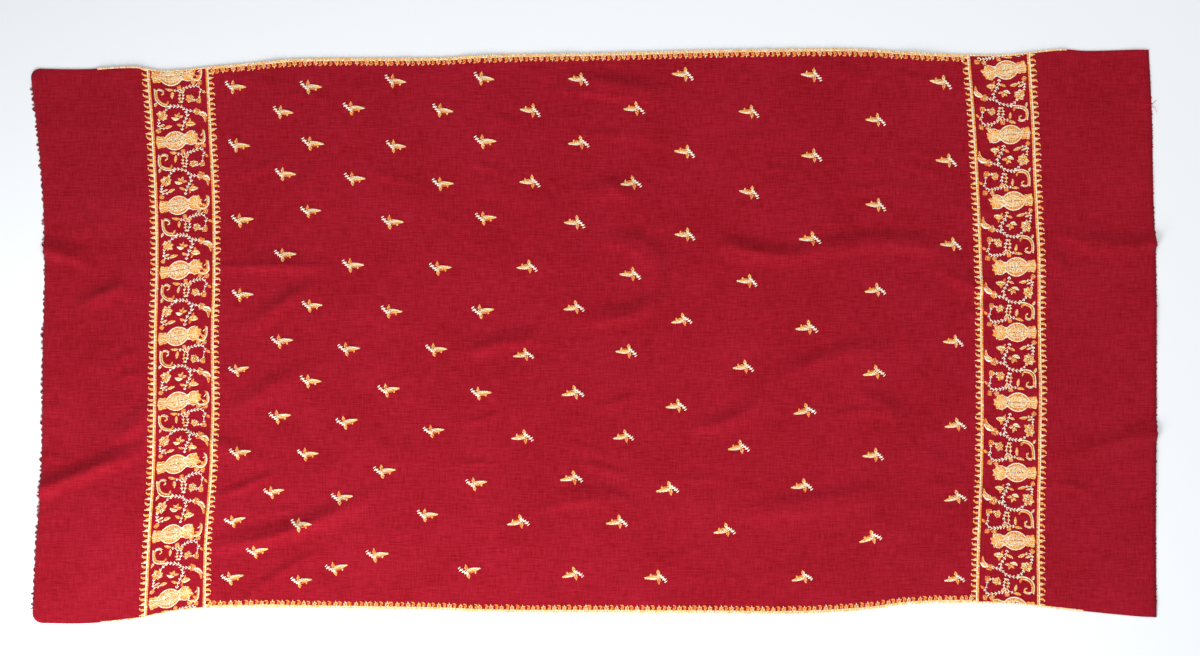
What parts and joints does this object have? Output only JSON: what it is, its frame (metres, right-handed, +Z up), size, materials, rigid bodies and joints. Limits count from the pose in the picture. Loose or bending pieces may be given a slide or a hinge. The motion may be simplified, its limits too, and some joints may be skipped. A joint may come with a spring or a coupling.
{
  "type": "embroidered shawl",
  "caption": "Long wool shawl laid out flat, with a band of embroidered medallions between guard rails across each end, stitched long edges and short eyelash fringes.",
  "frame": {"origin": "middle of the shawl's outline, on the surface that it lies on", "axes": "+X along the shawl towards its right end, +Y across it towards its far long side, +Z up out of the surface"},
  "size_m": [2.0348, 1.0348, 0.013],
  "materials": {
    "wool_cloth": "napped twill wool",
    "fringe_yarn": "loose wool yarn ends",
    "rail_thread": "soft embroidery thread in chain stitch",
    "medallion_thread": "soft embroidery thread in fine filling stitches",
    "edging_thread": "soft embroidery thread, whipped over the edge"
  },
  "bodies": {
    "root": {"shawl_cloth": "wool_cloth", "left_fringe": "fringe_yarn", "left_outer_rail": "rail_thread", "left_inner_rail": "rail_thread", "left_medallion_1": "medallion_thread", "left_medallion_2": "medallion_thread", "left_medallion_3": "medallion_thread", "left_medallion_4": "medallion_thread", "left_medallion_5": "medallion_thread", "left_medallion_6": "medallion_thread", "left_medallion_7": "medallion_thread", "left_medallion_8": "medallion_thread", "left_medallion_9": "medallion_thread", "right_fringe": "fringe_yarn", "right_outer_rail": "rail_thread", "right_inner_rail": "rail_thread", "right_medallion_1": "medallion_thread", "right_medallion_2": "medallion_thread", "right_medallion_3": "medallion_thread", "right_medallion_4": "medallion_thread", "right_medallion_5": "medallion_thread", "right_medallion_6": "medallion_thread", "right_medallion_7": "medallion_thread", "right_medallion_8": "medallion_thread", "right_medallion_9": "medallion_thread", "near_edging": "edging_thread", "far_edging": "edging_thread"}
  },
  "joints": []
}
